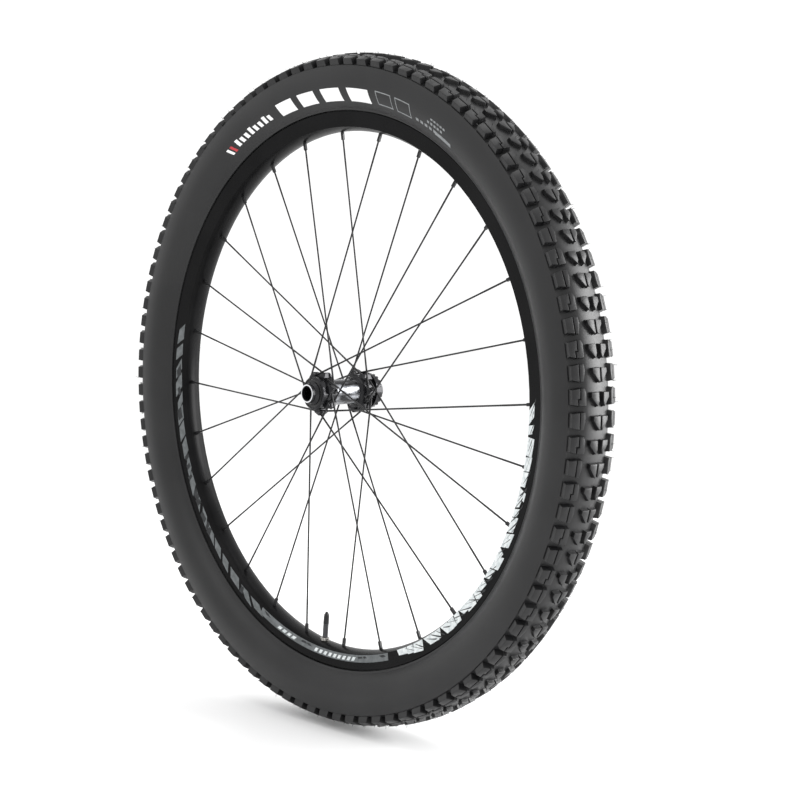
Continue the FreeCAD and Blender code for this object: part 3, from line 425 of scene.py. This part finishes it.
def add_knob(shell, outline, height, foot=0.5 * MM, edge=0.45 * MM, sink=1.0 * MM):
    """A moulded block: flared foot, drafted sides and a rounded edge, over an outline on the tread."""
    if area_of(outline) < 0:
        outline = list(reversed(outline))
    rings = []
    buried = [on_tread(a, y, -sink - extra_depth(y)) for a, y in inset_outline(outline, -foot * 1.5)]
    rings.append(shell.ring(buried))
    for amount, lift in ((-foot, 0.0), (0.0, height * 0.55), (0.05 * MM, height - edge),
                         (edge * 0.45, height - edge * 0.3), (edge * 1.1, height)):
        rings.append(shell.ring([on_tread(a, y, lift) for a, y in inset_outline(outline, amount)]))
    for lower, upper in zip(rings, rings[1:]):
        shell.bridge(lower, upper)
    shell.cap(rings[0], flip=True)
    shell.cap(rings[-1])


def add_hair(shell, along, across, height, lean, length):
    """A thin vent hair left by the mould."""
    base = on_tread(along, across, height - 0.3 * MM)
    tip = on_tread(along + lean[0], across + lean[1], height + length)
    axis = (tip - base).normalized()
    side = axis.orthogonal().normalized()
    other = axis.cross(side)
    rings = [shell.ring([end + (side * math.cos(t) + other * math.sin(t)) * radius * MM
                         for t in (0.0, 2.094, 4.189)]) for end, radius in ((base, 0.28), (tip, 0.12))]
    shell.bridge(*rings)
    shell.cap(rings[0], flip=True)
    shell.cap(rings[1])


# Each knob is the row it stands in and its outline as (way round, way across) in millimetres, for one side.
# The pattern repeats every two rows.
REPEATS = 51
ROW = math.pi * TYRE_R / REPEATS
HAIR_CHANCE = 0.7
SIDE_KNOBS = (
    (0.0, ((-8.2, 21.9), (7.8, 21.9), (6.2, 28.1), (-7.0, 28.1))),
    (0.0, ((-8.2, 17.4), (-1.6, 16.8), (7.8, 18.4), (7.8, 21.3), (-8.2, 21.3))),
    (1.0, ((-8.2, 21.6), (1.6, 21.6), (1.6, 23.4), (8.0, 23.4), (6.4, 28.3), (-7.0, 28.3))),
    (1.0, ((-8.2, 18.0), (-4.2, 16.4), (8.0, 16.4), (8.0, 22.8), (2.2, 22.8), (2.2, 21.0), (-8.2, 21.0))),
)
CENTRE_KNOBS = (
    (0.1, ((-6.8, 0.9), (5.8, 0.9), (6.6, 2.2), (-2.6, 8.9), (-6.4, 8.9))),
    (1.1, ((-6.4, 3.2), (2.0, 2.6), (6.6, 4.4), (-1.8, 11.4), (-6.2, 11.0))),
)


def make_knobs(shell):
    """Every knob round the tread, with vent hairs on some of their corners."""
    chance = random.Random(27)
    for repeat in range(REPEATS):
        for side in (-1, 1):
            for row, outline in SIDE_KNOBS + CENTRE_KNOBS:
                start = (repeat * 2 + row) * ROW
                corners = [(start + a * MM, side * y * MM) for a, y in outline]
                add_knob(shell, corners, KNOB)
                for corner in chance.sample(corners, 2):
                    if chance.random() < HAIR_CHANCE:
                        lean = (chance.uniform(-1, 1) * MM, chance.uniform(-0.5, 1.5) * side * MM)
                        add_hair(shell, corner[0], corner[1], KNOB * 0.9, lean,
                                 chance.uniform(1.2, 3.4) * MM)


def make_tyre():
    casing, knobs = Shell(), Shell()
    make_casing(casing)
    make_knobs(knobs)
    body = casing.build("tyre_casing", rubber)
    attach(body, WHEEL)
    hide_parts("tyre")
    tread = knobs.build("tyre_knobs", knob_rubber)
    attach(tread, WHEEL)


make_tyre()


# ------------------------------------------------------------------ printed marks

# The printed stretches of the outside, from bead to shoulder and from the spoke bed to the rim's lip.
SIDEWALL = OUTSIDE[5:30]
FLANK = ((RIM_R - 16.7 * MM, RIM_HALF - 2.5 * MM), (RIM_R - 1.0 * MM, RIM_HALF))
FLANK_LOW = RIM_R / MM - 16.3
PANEL_TOP = 288.9


def on_sidewall(side, degrees, radius, lift):
    """A point on the tyre's sidewall, raised along the axle; radius in millimetres."""
    return around(math.radians(degrees), side * (place_on_profile(SIDEWALL, radius * MM) + lift), radius * MM)


def on_flank(side, degrees, radius, lift):
    """A point on the rim's flank."""
    return around(math.radians(degrees), side * (place_on_profile(FLANK, radius * MM) + lift), radius * MM)


def add_patch(shell, place, side, corners, lift=0.12 * MM, depth=0.35 * MM):
    """A thin closed sheet over four corners, each (degrees, radius), following the surface."""
    (a0, r0), (a1, r1), (a2, r2), (a3, r3) = corners
    wide = max(1, math.ceil(max(abs(a1 - a0), abs(a2 - a3)) / 1.0))
    tall = max(1, math.ceil(max(abs(r3 - r0), abs(r2 - r1)) / 3.0))
    layers = []
    for level in (lift - depth, lift):
        grid = []
        for j in range(tall + 1):
            v = j / tall
            row = []
            for i in range(wide + 1):
                u = i / wide
                degrees = (a0 * (1 - u) + a1 * u) * (1 - v) + (a3 * (1 - u) + a2 * u) * v
                radius = (r0 * (1 - u) + r1 * u) * (1 - v) + (r3 * (1 - u) + r2 * u) * v
                row.append(place(side, degrees, radius, level))
            grid.append(shell.ring(row))
        layers.append(grid)
    for grid in layers:
        for j in range(tall):
            for i in range(wide):
                shell.faces.append((grid[j][i], grid[j][i + 1], grid[j + 1][i + 1], grid[j + 1][i]))
    for edge_low, edge_high in zip(border(layers[0]), border(layers[1])):
        shell.faces.append((edge_low[0], edge_low[1], edge_high[1], edge_high[0]))


def border(grid):
    """The edges round a grid of vertex numbers, in order."""
    path = list(grid[0]) + [row[-1] for row in grid[1:]]
    path += list(reversed(grid[-1][:-1])) + [row[0] for row in reversed(grid[1:-1])]
    return list(zip(path, path[1:] + path[:1]))


def bar(start, end, low, high, slant=0.0):
    """Corners of a bar from start to end degrees; slant moves its outer edge round."""
    return ((start, low), (end, low), (end + slant, high), (start + slant, high))


def outlined(start, end, low, high, slant, width):
    """The four strips of an outlined bar."""
    turn = width / 5.3
    lean = slant * width / (high - low)
    return (
        bar(start, end, low, low + width, lean),
        bar(start + slant - lean, end + slant - lean, high - width, high, lean),
        bar(start, start + turn, low, high, slant),
        bar(end - turn, end, low, high, slant),
    )


def tyre_marks():
    """Plain blocks and bars where a tyre carries its print. No lettering."""
    white, grey, red = [], [], []
    red.append(bar(-30.2, -29.5, 307.4, 315.6, -1.0))
    white.append(bar(-31.4, -30.7, 307.4, 315.6, -1.0))
    for k in range(8):
        start = -28.6 + k * 1.62
        white.append(bar(start, start + 0.95, 308.6, 314.6 if k % 3 else 316.4, -0.5))
    for start, end in ((-13.4, -8.6), (-6.7, -1.9), (0.2, 5.6), (7.8, 13.8)):
        white.append(bar(start, end, 306.4, 319.4, -0.8))
    for start, end in ((15.9, 20.2), (21.4, 25.6)):
        grey.extend(outlined(start, end, 307.6, 320.6, -0.8, 1.0))
    for k in range(5):
        grey.append(bar(26.9 + k * 1.3, 27.7 + k * 1.3, 309.0, 311.6, -0.1))
        grey.append(bar(30.2 + k * 0.95, 30.8 + k * 0.95, 314.2, 316.4, -0.1))
        grey.append(bar(31.0 + k * 0.9, 31.6 + k * 0.9, 318.6, 320.4, -0.1))
    grey.append(bar(32.6, 37.4, 308.0, 311.4, -0.1))
    return white, grey, red


def shards(chance, start, end, step, low, high, fill):
    """Irregular slanted slivers along a stretch of the rim's flank; fill is the share of places with one."""
    found = []
    at = start
    while at < end:
        wide = step * chance.uniform(0.6, 1.5)
        if chance.random() < fill:
            ragged = (high - low) * 0.3
            bottom = chance.uniform(low, low + ragged)
            top = chance.uniform(high - ragged, high)
            slant = chance.uniform(-2.0, -0.4)
            found.append(((at, bottom), (at + wide * chance.uniform(0.5, 1.0), bottom + ragged * 0.4),
                          (at + wide + slant, top), (at + slant + wide * chance.uniform(0.0, 0.3),
                                                     top - ragged * 0.4)))
        at += wide * chance.uniform(0.75, 1.05)
    return found


def rim_marks():
    """Jagged shards low on the rim, a plain panel at the bottom and faded shards behind it."""
    chance = random.Random(584)
    low, high = FLANK_LOW, PANEL_TOP
    pale, dark = [], []
    at = 91.0
    while at < 158.0:
        wide = chance.uniform(1.6, 3.6)
        top = chance.uniform(287.4, 292.0)
        slant = chance.uniform(-1.8, 0.6)
        pale.append(((at, low), (at + wide, low), (at + wide + slant, top - chance.uniform(0.0, 2.0)),
                     (at + slant, top)))
        at += wide + chance.uniform(0.1, 0.45)
    at = 92.0
    while at < 157.0:
        wide, lean = chance.uniform(0.25, 0.8), chance.uniform(2.0, 3.6)
        bottom, top = low + chance.uniform(0.4, 3.5), chance.uniform(287.0, 291.0)
        dark.append(((at, bottom), (at + wide * 0.4, bottom), (at + wide - lean, top), (at - lean, top)))
        at += chance.uniform(0.9, 2.6)
    grey = [bar(162.5 + k * 4.9, 167.4 + k * 4.9, low + 0.4, high, 0.0) for k in range(9)]
    for start, end in ((164.0, 171.0), (188.6, 191.6), (201.0, 206.0)):
        dark += shards(chance, start, end, 1.6, low + 1.0, low + 5.0, 0.7)
    at = 208.0
    while at < 281.0:
        wide, lean = chance.uniform(2.4, 4.2), chance.uniform(1.6, 3.2)
        bottom, top = low + chance.uniform(0.6, 2.0), chance.uniform(289.6, 292.6)
        grey.append(((at, bottom), (at + wide, bottom + chance.uniform(0.0, 1.2)),
                     (at + wide - lean, top - chance.uniform(0.0, 1.4)), (at - lean, top)))
        at += wide + chance.uniform(0.5, 1.6)
    dark += shards(chance, 209.0, 280.0, 2.0, low + 1.0, 292.0, 0.35)
    for k in range(9):
        pale.append(bar(173.0 + k * 1.55, 173.9 + k * 1.55, 283.6, 287.6, 0.5))
    for k in range(4):
        pale.append(bar(193.2 + k * 1.7, 194.3 + k * 1.7, 283.8, 287.4, 0.6))
    return pale, grey, dark


# Patches that overlap lie at slightly different heights, in millimetres, so that none shares a plane.
LAYERS, LAYER_STEP = 5, 0.006


def make_marks():
    """Each set is a design, where it lies, and its prints with their height above the surface."""
    sets = (
        (tyre_marks, on_sidewall, (("tyre_marks_white", white_print, 0.12),
                                   ("tyre_marks_grey", line_print, 0.12),
                                   ("tyre_marks_red", red_print, 0.12))),
        (rim_marks, on_flank, (("rim_marks_pale", pale_print, 0.10), ("rim_marks_grey", grey_print, 0.06),
                               ("rim_marks_dark", dark_print, 0.14))),
    )
    for design, place, prints in sets:
        for index, (name, material, lift) in enumerate(prints):
            shell = Shell()
            for side in (-1, 1):
                for number, corners in enumerate(design()[index]):
                    add_patch(shell, place, side, corners, (lift + number % LAYERS * LAYER_STEP) * MM)
            piece = shell.build(name, material)
            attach(piece, WHEEL)


make_marks()


# ------------------------------------------------------------------ stage, light and camera

# The visual tread stands up to 2 mm out of the CAD tyre, so the floor lies a little lower.
FLOOR_GAP = 4.0 * MM
WORLD_STRENGTH = 1.12


def make_floor():
    material = bpy.data.materials.new("floor_paper")
    tree, shader = tree_of(material)
    shade = spread(tree, noise(tree, 1.5, 2.0), 0.0, 1.0)
    tree.links.new(blend_colours(tree, shade, (0.90, 0.90, 0.90), (0.92, 0.92, 0.92)),
                   shader.inputs["Base Color"])
    shader.inputs["Roughness"].default_value = 0.9
    bpy.ops.mesh.primitive_circle_add(vertices=96, radius=14.0, fill_type="NGON",
                                      location=(0, 0, cad_low.z - FLOOR_GAP))
    floor = bpy.context.active_object
    floor.name = "floor"
    floor.data.materials.append(material)


def add_light(name, place, target, size, power):
    light = bpy.data.lights.new(name, "AREA")
    light.shape = "RECTANGLE"
    light.size, light.size_y = size
    light.energy = power
    lamp = bpy.data.objects.new(name, light)
    bpy.context.scene.collection.objects.link(lamp)
    lamp.location = place
    lamp.rotation_euler = (Vector(target) - Vector(place)).to_track_quat("-Z", "Y").to_euler()


def make_lights():
    world = bpy.data.worlds.new("studio")
    bpy.context.scene.world = world
    world.use_nodes = True
    world.node_tree.nodes["Background"].inputs["Color"].default_value = (1.0, 1.0, 1.0, 1.0)
    world.node_tree.nodes["Background"].inputs["Strength"].default_value = WORLD_STRENGTH
    add_light("key", (-0.6, -2.6, 1.9), (0, 0, 0), (1.6, 1.6), 10)
    add_light("right_strip", (2.0, 1.8, 0.1), (0.3, 0, 0), (1.5, 2.8), 170)
    add_light("back_strip", (0.9, 2.8, 0.1), (0.3, 0, 0), (1.4, 2.8), 45)
    add_light("top", (0.3, 0.0, 2.4), (0, 0, 0), (2.0, 1.2), 12)


def make_camera():
    """The camera stands to the right and front of the wheel, a little above its centre."""
    azimuth, elevation = math.radians(46.97), math.radians(3.69)
    distance, aside, below = 1.63500, 0.06170, 0.00890
    lens, sensor = 68.36, 36.0
    back = Vector((math.sin(azimuth) * math.cos(elevation), -math.cos(azimuth) * math.cos(elevation),
                   math.sin(elevation)))
    right = Vector((math.cos(azimuth), math.sin(azimuth), 0.0))
    up = back.cross(right)
    data = bpy.data.cameras.new("camera")
    data.lens, data.sensor_width = lens, sensor
    data.clip_end = 60.0
    camera = bpy.data.objects.new("camera", data)
    bpy.context.scene.collection.objects.link(camera)
    camera.matrix_world = Matrix.Translation(back * distance + right * aside - up * below) @ Matrix(
        (right, up, back)).transposed().to_4x4()
    bpy.context.scene.camera = camera


make_floor()
make_lights()
make_camera()
bpy.context.scene.view_settings.view_transform = "Standard"
